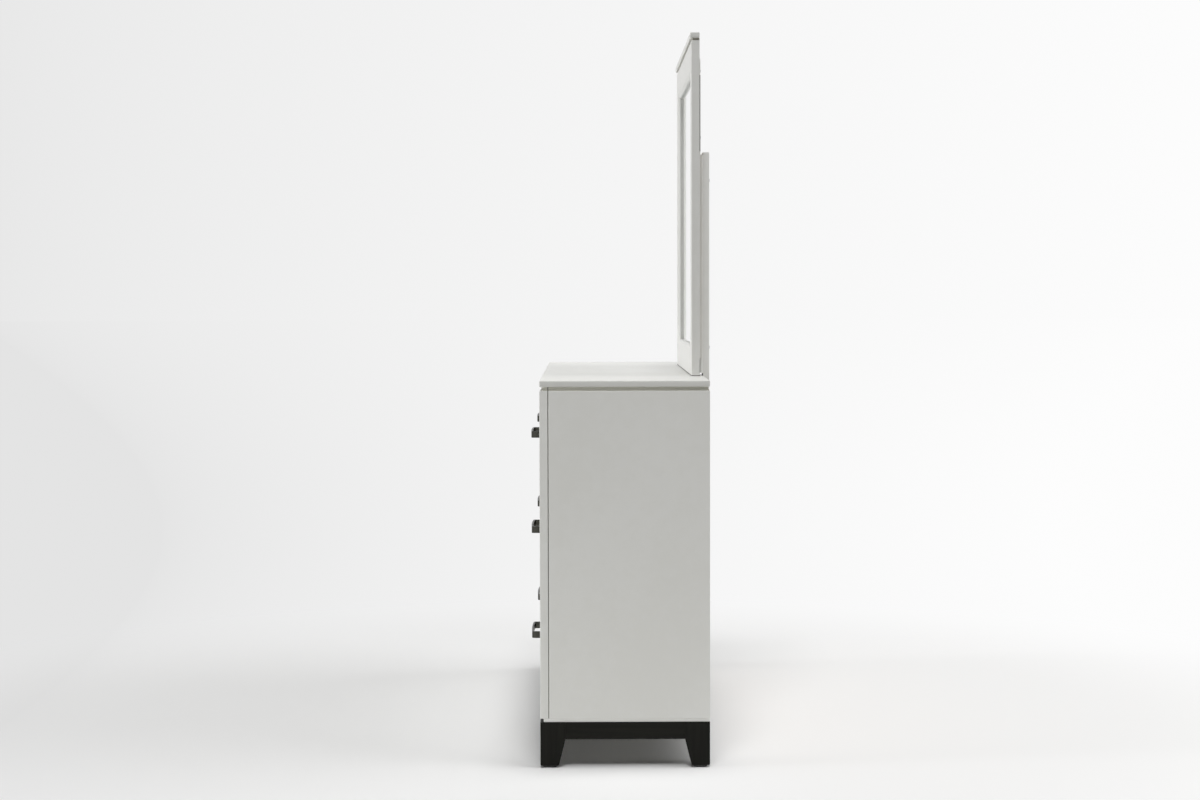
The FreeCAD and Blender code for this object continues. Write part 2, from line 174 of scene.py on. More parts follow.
class Net:
    def __init__(self, tree):
        self.tree = tree
        tree.nodes.clear()

    def add(self, kind, settings=None, sockets=None, out=0):
        node = self.tree.nodes.new(kind)
        for name, value in (settings or {}).items():
            setattr(node, name, value)
        for name, given in (sockets or {}).items():
            slot = socketNamed(node.inputs, name)
            for one in given if isinstance(given, list) else [given]:
                if isinstance(one, Wire):
                    self.tree.links.new(one.socket, slot)
                elif slot.type == "RGBA":
                    slot.default_value = (*one, 1.0)
                else:
                    slot.default_value = one
        return Wire(self.tree, socketNamed(node.outputs, out)) if node.outputs else None

    def mix(self, share, first, second, blend="MIX"):
        settings = {"data_type": "RGBA", "blend_type": blend}
        sockets = {"Factor_Float": share, "A_Color": first, "B_Color": second}
        return self.add("ShaderNodeMix", settings, sockets, "Result_Color")

    def ease(self, value, low, high):
        sockets = {"Value": value, "From Min": low, "From Max": high}
        return self.add("ShaderNodeMapRange", {"interpolation_type": "SMOOTHSTEP"}, sockets)

    def noise(self, place, scale, detail, rough=0.5, twist=0.0):
        sockets = {"Vector": place, "Scale": scale, "Detail": detail,
                   "Roughness": rough, "Distortion": twist}
        return self.add("ShaderNodeTexNoise", None, sockets)

    def stretched(self, place, scale):
        return self.add("ShaderNodeMapping", None, {"Vector": place, "Scale": scale})

    def vector(self, x, y, z):
        return self.add("ShaderNodeCombineXYZ", None, {"X": x, "Y": y, "Z": z})

    def vectorMaths(self, operation, first, second=(0, 0, 0)):
        slot = "Scale" if operation == "SCALE" else 1
        sockets = {0: first, slot: second}
        return self.add("ShaderNodeVectorMath", {"operation": operation}, sockets)

    def bump(self, height, strength, distance):
        sockets = {"Height": height, "Strength": strength, "Distance": distance}
        return self.add("ShaderNodeBump", None, sockets)


class Finish(Net):
    def __init__(self, name):
        self.material = bpy.data.materials.new(name)
        self.material.use_nodes = True
        super().__init__(self.material.node_tree)
        self.spot = self.add("ShaderNodeTexCoord", out="Object")

    def part(self, vector, axis):
        return self.add("ShaderNodeSeparateXYZ", None, {"Vector": vector}, axis)

    def normal(self, axis):
        return self.part(self.add("ShaderNodeNewGeometry", out="True Normal"), axis)

    def facing(self, axis):
        return abs(self.normal(axis))

    def surface(self, sockets):
        shader = self.add("ShaderNodeBsdfPrincipled", None, sockets)
        self.add("ShaderNodeOutputMaterial", None, {"Surface": shader})
        return self.material


def toned(colour, tone):
    return tuple(tone * share for share in colour)


# Finishes. A noise is scale, detail, roughness and twist, a range is where something
# begins and where it is full, and relief is a bump's strength and height in metres.
paintLook = {
    "colour": (0.790, 0.790, 0.766),
    "shade": (0.770, 0.769, 0.740),
    "cloudNoise": (2.6, 4.0),
    "mottleNoise": (34.0, 3.0, 0.6),
    "mottleShare": 0.4,
    "shadeRange": (0.38, 0.62),
    "edgeShadeRange": (0.3, 0.6),
    "peelNoise": (380.0, 2.0),
    "peelRelief": (0.5, 0.00016),
    "roughness": 0.42,
    "roughSwing": 0.16,
}
# The neck's paint is a darker grey copy of the white: partly its own grey, partly painted shade
# under the top's overhang
neckShadeLook = {**paintLook, "colour": (0.700, 0.690, 0.610), "shade": (0.670, 0.660, 0.580)}
# The mirror's paint is a lighter copy of the case's white: painted light for the bounce the
# mirror gets less of, high above the floor
litFrameLook = {**paintLook, "colour": (0.850, 0.850, 0.826), "shade": (0.830, 0.829, 0.800)}
# A still lighter copy of the white: painted light on the packing strips and the case floor's
# edge, which sit in shade
litPaintLook = {**paintLook, "colour": (0.930, 0.930, 0.905), "shade": (0.915, 0.914, 0.885)}

# Painted shade in the creases: the seams are dark joints deepened by painted shade in the groove,
# the mirror's foot is a painted contact shadow and the cap's neck painted shade under the cap:
# place and half width along the axis, reach out in X
neckMiddle = 0.003  # the neck under the mirror's cap is 6 mm high
creaseFade = 0.001
seamShadeTone = (0.200, 0.195, 0.175)
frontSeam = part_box("face_frame_stiles")[1][1]
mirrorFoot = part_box("mirror_stiles")[0][2]
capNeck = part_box("mirror_cap")[0][2] + neckMiddle
shadedCreases = {
    "seam": {"axis": "Y", "place": frontSeam, "half": 0.0006, "reach": 0.749, "tone": seamShadeTone},
    "neckSeam": {"axis": "Y", "place": frontSeam, "half": 0.0006, "reach": 1.0, "tone": seamShadeTone},
    "mirrorFoot": {"axis": "Z", "place": mirrorFoot, "half": 0.0014, "reach": 1.0,
                   "tone": (0.150, 0.146, 0.132)},
    "capNeck": {"axis": "Z", "place": capNeck, "half": 0.0022, "reach": 1.0,
                "tone": (0.400, 0.380, 0.330)},
}


def paintFinish(name, look, crease=None, shadedAxis=None, edgeShadeTone=1.0):
    net = Finish(name)
    cloud = net.noise(net.spot, *look["cloudNoise"])
    mottle = net.noise(net.spot, *look["mottleNoise"])  # the gun's passes dry unevenly
    tone = (1 - look["mottleShare"]) * cloud + look["mottleShare"] * mottle
    colour = net.mix(net.ease(tone, *look["shadeRange"]), look["colour"], look["shade"])
    # a dark line at the crease's place: painted shade, and in the seams also the dark joint
    if crease:
        away = abs(net.part(net.spot, crease["axis"]) - crease["place"])
        sunk = abs(net.part(net.spot, "X")) < crease["reach"]
        inside = sunk * (1 - net.ease(away, crease["half"], crease["half"] + creaseFade))
        colour = net.mix(inside, colour, crease["tone"])
    if shadedAxis:  # painted shade: faces turned from this axis are painted a little darker, as less light falls on them
        edgeShadeMask = 1 - net.ease(net.facing(shadedAxis), *look["edgeShadeRange"])
        colour = net.mix(edgeShadeMask, colour, toned(look["shade"], edgeShadeTone))
    peel = net.noise(net.spot, *look["peelNoise"])
    return net.surface({
        "Base Color": colour,
        "Roughness": look["roughness"] + look["roughSwing"] * tone.swing(),
        "Normal": net.bump(peel, *look["peelRelief"]),
    })


primerLook = {
    "pale": (0.450, 0.445, 0.420),
    "dark": (0.340, 0.335, 0.312),
    "shadeRange": (0.35, 0.65),
    "fibreNoise": (300.0, 4.0, 0.7),
    "fibreRelief": (0.3, 0.0001),
    "downward": -0.5,
    "rougher": 0.2,
}


def undersideFinish(name, look, primer):
    net = Finish(name)  # painted on its edge, only primed underneath
    down = net.normal("Z") < primer["downward"]
    cloud = net.noise(net.spot, *look["cloudNoise"])
    fibre = net.noise(net.spot, *primer["fibreNoise"])
    white = net.mix(net.ease(cloud, *primer["shadeRange"]), look["colour"], look["shade"])
    primed = net.mix(fibre, primer["dark"], primer["pale"])
    return net.surface({
        "Base Color": net.mix(down, white, primed),
        "Roughness": look["roughness"] + primer["rougher"] * down,
        "Normal": net.bump(fibre, *primer["fibreRelief"]),
    })


alongGrain = {"X": (1.0, 26.0, 26.0), "Y": (26.0, 1.0, 26.0), "Z": (26.0, 26.0, 1.0)}
lacquerLook = {
    "colour": (0.0075, 0.0075, 0.0062),
    "figure": (0.0115, 0.0112, 0.0090),
    "figureNoise": (3.0, 5.0, 0.6, 0.4),
    "figureRange": (0.4, 0.7),
    "poreNoise": (34.0, 2.0),
    "poreRange": (0.25, 0.5),
    "poreRelief": (0.5, 0.00012),
    "roughness": 0.40,
    "roughSwing": 0.12,
    "gloss": 0.10,
}


def lacquerFinish(axis, look):
    net = Finish("blackLacquer" + axis)
    run = net.stretched(net.spot, alongGrain[axis])
    figure = net.noise(run, *look["figureNoise"])
    pores = net.ease(net.noise(run, *look["poreNoise"]), *look["poreRange"])
    figured = net.ease(figure, *look["figureRange"])
    return net.surface({
        "Base Color": net.mix(figured, look["colour"], look["figure"]),
        "Roughness": look["roughness"] + look["roughSwing"] * figure.swing(),
        "Specular IOR Level": look["gloss"],
        "Normal": net.bump(pores, *look["poreRelief"]),
    })


woodLook = {
    "pale": (0.640, 0.480, 0.310),
    "ring": (0.500, 0.340, 0.195),
    "fleck": (0.360, 0.230, 0.120),
    "figureNoise": (1.1, 3.0, 0.5, 1.2),
    "ringTurns": 26.0,
    "ringRange": (0.1, 1.0),
    "ringShare": 0.55,
    "fibreNoise": (30.0, 3.0),
    "fibreShare": 0.25,
    "fibreRelief": (0.3, 0.00015),
    "fleckNoise": (14.0, 2.0, 0.4),
    "fleckRange": (0.66, 0.74),
    "fleckShare": 0.6,
    "endNoise": (900.0, 2.0),
    "endRange": (0.6, 0.8),
    "endTone": 0.72,
    "endShare": 0.75,
    "endSpeckle": 0.3,
    "endRougher": 0.1,
    "roughness": 0.58,
    "roughSwing": 0.12,
}


def woodFinish(axis, look):
    net = Finish("plainWood" + axis)
    run = net.stretched(net.spot, alongGrain[axis])
    figure = net.noise(run, *look["figureNoise"])
    rings = net.ease(abs((figure * look["ringTurns"]).sine()), *look["ringRange"])
    fibre = net.noise(run, *look["fibreNoise"])
    fleck = net.ease(net.noise(run, *look["fleckNoise"]), *look["fleckRange"])
    colour = net.mix(look["ringShare"] * rings, look["pale"], look["ring"])
    colour = net.mix(look["fibreShare"] * fibre, colour, look["ring"])
    colour = net.mix(look["fleckShare"] * fleck, colour, look["fleck"])
    end = net.ease(net.facing(axis), *look["endRange"])
    speckle = look["endShare"] + look["endSpeckle"] * net.noise(net.spot, *look["endNoise"])
    colour = net.mix(end * speckle, colour, toned(look["pale"], look["endTone"]))
    rough = look["roughness"] + look["roughSwing"] * fibre.swing() + look["endRougher"] * end
    return net.surface({
        "Base Color": colour,
        "Roughness": rough,
        "Normal": net.bump(fibre, *look["fibreRelief"]),
    })


boardLook = {
    "colour": (0.300, 0.232, 0.170),
    "pale": (0.420, 0.345, 0.268),
    "dark": (0.185, 0.135, 0.095),
    "cloudNoise": (5.0, 3.0, 0.5),
    "cloudLeast": 0.2,
    "cloudShare": 0.3,
    "fibreNoise": (420.0, 4.0, 0.7, 0.6),
    "fibreShare": 0.35,
    "fibreRelief": (0.4, 0.0002),
    "fleckNoise": (190.0, 2.0, 0.4, 1.4),
    "fleckRange": (0.6, 0.7),
    "fleckShare": 0.5,
    "roughness": 0.62,
    "roughSwing": 0.2,
    "litEdgeReach": 0.4192,
    "edgeHighlight": (0.860, 0.856, 0.820),
    "bandShade": (0.052, 0.044, 0.036),
    "bandShadeLow": 1.489,
    "bandShadeHigh": 1.680,
    "bandShadeWander": 0.004,
}


def hardboardFinish(name, look, litEdgeAndBand=False):
    net = Finish(name)
    cloud = net.noise(net.spot, *look["cloudNoise"])
    fibre = net.noise(net.spot, *look["fibreNoise"])
    fleck = net.ease(net.noise(net.spot, *look["fleckNoise"]), *look["fleckRange"])
    cloudy = look["cloudLeast"] + look["cloudShare"] * cloud
    colour = net.mix(cloudy, look["colour"], look["pale"])
    colour = net.mix(look["fibreShare"] * fibre, colour, look["dark"])
    colour = net.mix(look["fleckShare"] * fleck, colour, look["dark"])
    if litEdgeAndBand:  # the board's edge is pale as a painted highlight, but for a near-black band between two heights: the bare board darkened further as painted shade
        edge = abs(net.part(net.spot, "X")) > look["litEdgeReach"]
        height = net.part(net.spot, "Z") + look["bandShadeWander"] * cloud.swing()
        shadedBand = (height > look["bandShadeLow"]) * (height < look["bandShadeHigh"])
        colour = net.mix(edge, colour, net.mix(shadedBand, look["edgeHighlight"], look["bandShade"]))
    return net.surface({
        "Base Color": colour,
        "Roughness": look["roughness"] + look["roughSwing"] * fibre.swing(),
        "Normal": net.bump(fibre, *look["fibreRelief"]),
    })


gunmetalLook = {
    "colour": (0.075, 0.075, 0.064),
    "rub": (0.165, 0.163, 0.142),
    "rim": (0.006, 0.006, 0.005),
    "brushStretch": (1.0, 60.0, 60.0),
    "brushNoise": (26.0, 3.0),
    "brushShare": 0.35,
    "brushRelief": (0.25, 0.00006),
    "cloudNoise": (30.0, 3.0),
    "cloudShare": 0.25,
    "edgeRange": (0.51, 0.58),
    "edgeShare": 0.8,
    "flatRange": (0.5, 0.8),
    "behindRange": (0.4, 0.8),
    "shadedShare": 0.9,
    "roughness": 0.34,
    "cloudRough": 0.12,
    "brushRough": 0.1,
}


def gunmetalFinish(look):
    net = Finish("gunmetal")
    brush = net.noise(net.stretched(net.spot, look["brushStretch"]), *look["brushNoise"])
    cloud = net.noise(net.spot, *look["cloudNoise"])
    edges = net.ease(net.add("ShaderNodeNewGeometry", out="Pointiness"), *look["edgeRange"])
    flat = net.ease(net.facing("Z"), *look["flatRange"])
    behind = net.ease(net.normal("Y"), *look["behindRange"])
    # painted shade: the edges and the faces that look up, down or back are painted near black;
    # the front and the ends keep the brushed metal colour
    shaded = look["shadedShare"]
    rim = (look["edgeShare"] * edges + shaded * flat + shaded * behind).kept()
    rubbed = look["brushShare"] * brush + look["cloudShare"] * cloud
    colour = net.mix(rubbed, look["colour"], look["rub"])
    rough = look["cloudRough"] * cloud.swing() + look["brushRough"] * brush.swing()
    return net.surface({
        "Base Color": net.mix(rim, colour, look["rim"]),
        "Metallic": 1.0,
        "Roughness": look["roughness"] + rough,
        "Normal": net.bump(brush, *look["brushRelief"]),
    })


zincLook = {
    "colour": (0.440, 0.450, 0.460),
    "spangle": (0.560, 0.570, 0.572),
    "spangleScale": 130.0,
    "patchShare": 0.5,
    "smearStretch": (40.0, 1.0, 40.0),
    "smearNoise": (12.0, 3.0),
    "smearShare": 0.3,
    "smearRelief": (0.2, 0.00005),
    "roughness": 0.36,
    "patchRough": 0.12,
    "smearRough": 0.1,
}


def zincFinish(look):
    net = Finish("zincSteel")
    sockets = {"Vector": net.spot, "Scale": look["spangleScale"]}
    patch = net.part(net.add("ShaderNodeTexVoronoi", None, sockets, "Color"), "X")
    smear = net.noise(net.stretched(net.spot, look["smearStretch"]), *look["smearNoise"])
    spangled = look["patchShare"] * patch + look["smearShare"] * smear
    rough = look["patchRough"] * patch.swing() + look["smearRough"] * smear.swing()
    return net.surface({
        "Base Color": net.mix(spangled, look["colour"], look["spangle"]),
        "Metallic": 1.0,
        "Roughness": look["roughness"] + rough,
        "Normal": net.bump(smear, *look["smearRelief"]),
    })


plasticLook = {
    "colour": (0.030, 0.030, 0.029),
    "scuff": (0.090, 0.088, 0.084),
    "scuffNoise": (160.0, 4.0, 0.7),
    "scuffRange": (0.55, 0.75),
    "scuffShare": 0.6,
    "scuffRougher": 0.2,
    "grainNoise": (1400.0, 2.0),
    "grainRelief": (0.3, 0.0001),
    "roughness": 0.5,
}


def plasticFinish(look):
    net = Finish("glidePlastic")
    grain = net.noise(net.spot, *look["grainNoise"])
    scuff = net.ease(net.noise(net.spot, *look["scuffNoise"]), *look["scuffRange"])
    return net.surface({
        "Base Color": net.mix(look["scuffShare"] * scuff, look["colour"], look["scuff"]),
        "Roughness": look["roughness"] + look["scuffRougher"] * scuff,
        "Normal": net.bump(grain, *look["grainRelief"]),
    })


glassLook = {
    "colour": (0.900, 0.925, 0.915),
    "haze": (0.8, 0.8, 0.79),
    "hazeNoise": (5.0, 5.0, 0.6, 0.5),
    "hazeRange": (0.5, 0.8),
    "hazeShare": 0.04,
    "hazeRougher": 0.03,
    "roughness": 0.012,
}


def silverFinish(look):
    net = Finish("silveredGlass")
    haze = net.ease(net.noise(net.spot, *look["hazeNoise"]), *look["hazeRange"])
    return net.surface({
        "Base Color": net.mix(look["hazeShare"] * haze, look["colour"], look["haze"]),
        "Metallic": 1.0,
        "Roughness": look["roughness"] + look["hazeRougher"] * haze,
        "Coat Weight": 1.0,
    })


paint = paintFinish("whitePaint", paintLook)
litPaint = paintFinish("litWhitePaint", litPaintLook)
topPaint = paintFinish("whitePaintBoard", paintLook, shadedAxis="Z", edgeShadeTone=0.95)
seamPaint = paintFinish("whitePaintSeam", paintLook, shadedCreases["seam"])
neckShadePaint = paintFinish("greyNeckPaintAndShade", neckShadeLook, shadedCreases["neckSeam"])
framePaint = paintFinish("whiteFramePaint", litFrameLook, shadedCreases["mirrorFoot"])
capPaint = paintFinish("whiteCapPaint", litFrameLook, shadedCreases["capNeck"])
postPaint = paintFinish("whitePostPaint", litFrameLook)
underPaint = undersideFinish("caseUnderside", litPaintLook, primerLook)
lacquer = {axis: lacquerFinish(axis, lacquerLook) for axis in "XYZ"}
wood = {axis: woodFinish(axis, woodLook) for axis in "XYZ"}
hardboard = hardboardFinish("hardboard", boardLook)
backing = hardboardFinish("mirrorBackingBoard", boardLook, litEdgeAndBand=True)
gunmetal = gunmetalFinish(gunmetalLook)
zinc = zincFinish(zincLook)
plastic = plasticFinish(plasticLook)
silver = silverFinish(glassLook)
print("finishes:", len(bpy.data.materials), "materials")

# Pieces: a node's solids, merged and eased, then laid over the node
easingSizes = {
    "weld": 1e-6,
    "flatDegrees": 0.5,
    "sharpDegrees": 25.0,
    "rounds": 3,
}


def welded(node, sizes):
    mesh = bmesh.new()
    mesh.from_mesh(nodes[node].data)
    bmesh.ops.remove_doubles(mesh, verts=mesh.verts, dist=sizes["weld"])
    return mesh


def longestAxis(points):
    lows, highs = zip(*((min(line), max(line)) for line in zip(*points)))
    spans = [high - low for low, high in zip(lows, highs)]
    return spans.index(max(spans))


def islandsOf(mesh):
    left = set(mesh.faces)
    while left:
        found = {left.pop()}
        edge = set(found)
        while edge:
            edge = {face for one in edge for link in one.edges for face in link.link_faces} & left
            found |= edge
            left -= edge
        yield found


def easedPiece(name, node, finish, easing, sizes):
    mesh = welded(node, sizes)
    flat = math.radians(sizes["flatDegrees"])
    bmesh.ops.dissolve_limit(mesh, angle_limit=flat, verts=mesh.verts, edges=mesh.edges)
    finishes = [finish[axis] for axis in "XYZ"] if isinstance(finish, dict) else [finish]
    if len(finishes) > 1:  # the grain runs along each board
        for island in islandsOf(mesh):
            axis = longestAxis([corner.co for face in island for corner in face.verts])
            for face in island:
                face.material_index = axis
    for face in mesh.faces:
        face.smooth = True
    data = bpy.data.meshes.new(name)
    mesh.to_mesh(data)
    mesh.free()
    for one in finishes:
        data.materials.append(one)
    piece = addObject(name, data)
    if easing:
        bevel = piece.modifiers.new("easing", "BEVEL")
        bevel.width = easing * millimetre
        bevel.segments = sizes["rounds"]
        bevel.limit_method = "ANGLE"
        bevel.angle_limit = math.radians(sizes["sharpDegrees"])
        bevel.harden_normals = True
        bevel.use_clamp_overlap = True
    return piece


def baked(piece):
    graph = bpy.context.evaluated_depsgraph_get()
    data = bpy.data.meshes.new_from_object(piece.evaluated_get(graph))
    piece.modifiers.clear()
    old = piece.data
    piece.data = data
    data.name = old.name
    bpy.data.meshes.remove(old)
    return piece


def dress(name, node, body, slot, finish, easing):
    piece = baked(easedPiece(name, node, finish, easing, easingSizes))
    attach(piece, body)
    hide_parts(node)


casePieces = [
    # piece, node, slot, finish, easing in millimetres
    ("topBoard", "top_panel", "white_paint", topPaint, 0.8),
    ("neckBoard", "sub_top", "white_paint", neckShadePaint, 0.4),
    ("rightSide", "side_panel_right", "white_paint", seamPaint, 0.4),
    ("leftSide", "side_panel_left", "white_paint", seamPaint, 0.4),
    ("middleWall", "centre_partition", "plain_wood", wood, 0.5),
    ("caseFloor", "case_floor", "white_paint", underPaint, 0.4),
    ("rearRails", "rear_rails", "plain_wood", wood, 0.5),
    ("frameUprights", "face_frame_stiles", "white_paint", seamPaint, 0.5),
    ("frameRails", "face_frame_rails", "white_paint", paint, 0.5),
    ("runnerBattens", "runner_battens", "plain_wood", wood, 0.5),
    ("baseAprons", "base_aprons", "black_stain", lacquer, 0.7),
    ("baseStretcher", "base_stretcher", "black_stain", lacquer, 0.7),
    ("baseFeet", "feet", "black_stain", lacquer["Z"], 0.8),
    ("footGlides", "foot_glides", "glide_plastic", plastic, 0.7),
    ("mirrorUprights", "mirror_stiles", "white_paint", framePaint, 0.8),
    ("mirrorRails", "mirror_rails", "white_paint", framePaint, 0.8),
    ("mirrorCap", "mirror_cap", "white_paint", capPaint, 0.6),
    ("mirrorBacking", "mirror_backboard", "hardboard", backing, 0.4),
    ("mirrorPosts", "mirror_posts", "white_paint", postPaint, 0.5),
    ("postPackings", "post_packings", "white_paint", litPaint, 0.4),
]
for name, node, slot, finish, easing in casePieces:
    dress(name, node, "cabinet", slot, finish, easing)
plainNodes = {"back_panel": hardboard, "case_runners": zinc, "mirror_glass": silver}
for node, finish in plainNodes.items():
    nodes[node].data.materials.clear()
    nodes[node].data.materials.append(finish)
print("case:", len(casePieces), "eased pieces")

drawerPieces = [
    # name's ending, node's ending, slot, finish, easing in millimetres
    ("Front", "front", "white_paint", paint, 0.5),
    ("BoxSides", "box_sides", "plain_wood", wood, 0.4),
    ("BoxEnds", "box_ends", "plain_wood", wood, 0.4),
    ("Bottom", "bottom", "hardboard", hardboard, 0.0),
    ("Runners", "runners", "zinc_steel", zinc, 0.25),
    ("Pull", "pull", "gunmetal", gunmetal, 0.9),
]
drawers = {row + column.title(): "_".join(("drawer", row, column))
           for row in rows for column in columns}
for label, body in drawers.items():
    for ending, node, slot, finish, easing in drawerPieces:
        dress(label + ending, body + "_" + node, body, slot, finish, easing)
print("drawers:", len(drawers), "of", len(drawerPieces), "pieces")

# Fasteners: Geometry Nodes set a screw or a nail on every marked place
fastenerInputs = {
    "Places": "NodeSocketGeometry",
    "Head Width": "NodeSocketFloat",
    "Head Rise": "NodeSocketFloat",
    "Recess Length": "NodeSocketFloat",
    "Recess Width": "NodeSocketFloat",
    "Recess Depth": "NodeSocketFloat",
    "Shank Width": "NodeSocketFloat",
    "Shank Length": "NodeSocketFloat",
    "Wander": "NodeSocketFloat",
    "Seed": "NodeSocketInt",
    "Finish": "NodeSocketMaterial",
}
fastenerShape = {
    "headSegments": 24,
    "headRings": 14,
    "shankSides": 12,
    "sharpAngle": 0.55,
}


def fastenerPlan(shape):
    tree = bpy.data.node_groups.new("fasteners", "GeometryNodeTree")
    for label, kind in fastenerInputs.items():
        tree.interface.new_socket(label, in_out="INPUT", socket_type=kind)
    tree.interface.new_socket("Fasteners", in_out="OUTPUT", socket_type="NodeSocketGeometry")
    net = Net(tree)
    given = {label: net.add("NodeGroupInput", out=label) for label in fastenerInputs}
    width, rise, depth = given["Head Width"], given["Head Rise"], given["Recess Depth"]
    length, narrow, reach = given["Recess Length"], given["Recess Width"], given["Shank Length"]

    def moved(form, height):
        sockets = {"Geometry": form, "Translation": net.vector(0, 0, height)}
        return net.add("GeometryNodeTransform", None, sockets)

    def brick(x, y, z, height):
        return moved(net.add("GeometryNodeMeshCube", None, {"Size": net.vector(x, y, z)}), height)

    def cut(form, tools):
        settings = {"operation": "DIFFERENCE", "solver": "EXACT"}
        return net.add("GeometryNodeMeshBoolean", settings, {"Mesh 1": form, "Mesh 2": tools})

    # one screw: a dome with a cross recess on a shank, or a nail where the recess has no depth
    ball = net.add("GeometryNodeMeshUVSphere", None, {
        "Segments": shape["headSegments"], "Rings": shape["headRings"], "Radius": 0.5})
    dome = net.add("GeometryNodeTransform", None, {
        "Geometry": ball, "Scale": net.vector(width, width, 2.0 * rise)})
    head = cut(dome, [brick(2.0 * width, 2.0 * width, 2.0 * rise, -1.0 * rise)])
    cross = [brick(length, narrow, 2.0 * depth, rise), brick(narrow, length, 2.0 * depth, rise)]
    head = net.add("GeometryNodeSwitch", {"input_type": "GEOMETRY"}, {
        "Switch": depth > 0.0, "False": head, "True": cut(head, cross)})
    rod = net.add("GeometryNodeMeshCylinder", None, {
        "Vertices": shape["shankSides"], "Radius": 0.5 * given["Shank Width"], "Depth": reach})
    rod = moved(rod, -0.5 * reach)
    screw = net.add("GeometryNodeJoinGeometry", None, {"Geometry": [head, rod]})
    angle = net.add("GeometryNodeInputMeshEdgeAngle", out="Unsigned Angle")
    sharp = angle > shape["sharpAngle"]
    screw = net.add("GeometryNodeSetShadeSmooth", {"domain": "FACE"}, {
        0: screw, "Shade Smooth": True})
    screw = net.add("GeometryNodeSetShadeSmooth", {"domain": "EDGE"}, {
        0: screw, "Selection": sharp, "Shade Smooth": False})

    # each place strays a little in its surface, and each head has its own turn
    outward = net.add("GeometryNodeInputNamedAttribute", {"data_type": "FLOAT_VECTOR"},
                      {"Name": "outward"}, "Attribute")
    stray = net.add("FunctionNodeRandomValue", {"data_type": "FLOAT_VECTOR"}, {
        "Min": (-1.0, -1.0, -1.0), "Max": (1.0, 1.0, 1.0), "Seed": given["Seed"]}, "Value")
    flat = net.vectorMaths("SUBTRACT", (1.0, 1.0, 1.0), net.vectorMaths("ABSOLUTE", outward))
    stray = net.vectorMaths("MULTIPLY", stray, flat)
    stray = net.vectorMaths("SCALE", stray, given["Wander"])
    places = net.add("GeometryNodeSetPosition", None, {
        "Geometry": given["Places"], "Offset": stray})
    spin = net.add("FunctionNodeRandomValue", {"data_type": "FLOAT"}, {
        "Min_001": -math.pi, "Max_001": math.pi, "Seed": given["Seed"]}, "Value_001")
    facing = net.add("FunctionNodeAlignRotationToVector", {"axis": "Z"}, {"Vector": outward})
    twist = net.add("FunctionNodeAxisAngleToRotation", None, {
        "Axis": (0.0, 0.0, 1.0), "Angle": spin})
    turned = net.add("FunctionNodeRotateRotation", {"rotation_space": "LOCAL"}, {
        "Rotation": facing, "Rotate By": twist})
    row = net.add("GeometryNodeInstanceOnPoints", None, {
        "Points": places, "Instance": screw, "Rotation": turned})
    row = net.add("GeometryNodeRealizeInstances", None, {"Geometry": row})
    row = net.add("GeometryNodeSetMaterial", None, {"Geometry": row, "Material": given["Finish"]})
    net.add("NodeGroupOutput", None, {"Fasteners": row})
    return tree


fasteners = fastenerPlan(fastenerShape)
pullScrew = {
    "Head Width": 0.0095, "Head Rise": 0.0022, "Recess Length": 0.0046, "Recess Width": 0.0011,
    "Recess Depth": 0.0012, "Shank Width": 0.0038, "Shank Length": 0.034, "Seed": 3,
    "Finish": zinc,
}
runnerScrew = {
    "Head Width": 0.0075, "Head Rise": 0.0014, "Recess Length": 0.0038, "Recess Width": 0.0010,
    "Recess Depth": 0.0008, "Shank Width": 0.0033, "Shank Length": 0.012, "Seed": 5,
    "Finish": zinc,
}
postScrew = {
    "Head Width": 0.0110, "Head Rise": 0.0018, "Recess Length": 0.0056, "Recess Width": 0.0013,
    "Recess Depth": 0.0015, "Shank Width": 0.0050, "Shank Length": 0.038, "Seed": 7,
    "Finish": zinc,
}
backingScrew = {
    "Head Width": 0.0080, "Head Rise": 0.0016, "Recess Length": 0.0040, "Recess Width": 0.0010,
    "Recess Depth": 0.0009, "Shank Width": 0.0032, "Shank Length": 0.011, "Seed": 11,
    "Finish": zinc,
}
panelNail = {
    "Head Width": 0.0055, "Head Rise": 0.0007, "Recess Depth": 0.0, "Shank Width": 0.0018,
    "Shank Length": 0.016, "Wander": 0.0015, "Seed": 13, "Finish": zinc,
}


def fasten(name, body, sizes, places):
    data = bpy.data.meshes.new(name)
    data.from_pydata([place for place, way in places], [], [])
    outward = data.attributes.new("outward", "FLOAT_VECTOR", "POINT")
    for index, (place, way) in enumerate(places):
        outward.data[index].vector = way
    piece = addObject(name, data)
    modifier = piece.modifiers.new("fasteners", "NODES")
    modifier.node_group = fasteners
    for item in fasteners.interface.items_tree:
        if item.in_out == "INPUT" and item.name in sizes:
            modifier[item.identifier] = sizes[item.name]
    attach(baked(piece), body)
    return piece


drawerFixings = {
    "boxBoard": 0.012,
    "pullSpread": 0.0855,
    "sheet": 0.0012,
    "runnerSpace": 0.013,
    "alongRunner": (0.07, 0.50, 0.93),
}


def share(low, high, part):
    return low + part * (high - low)


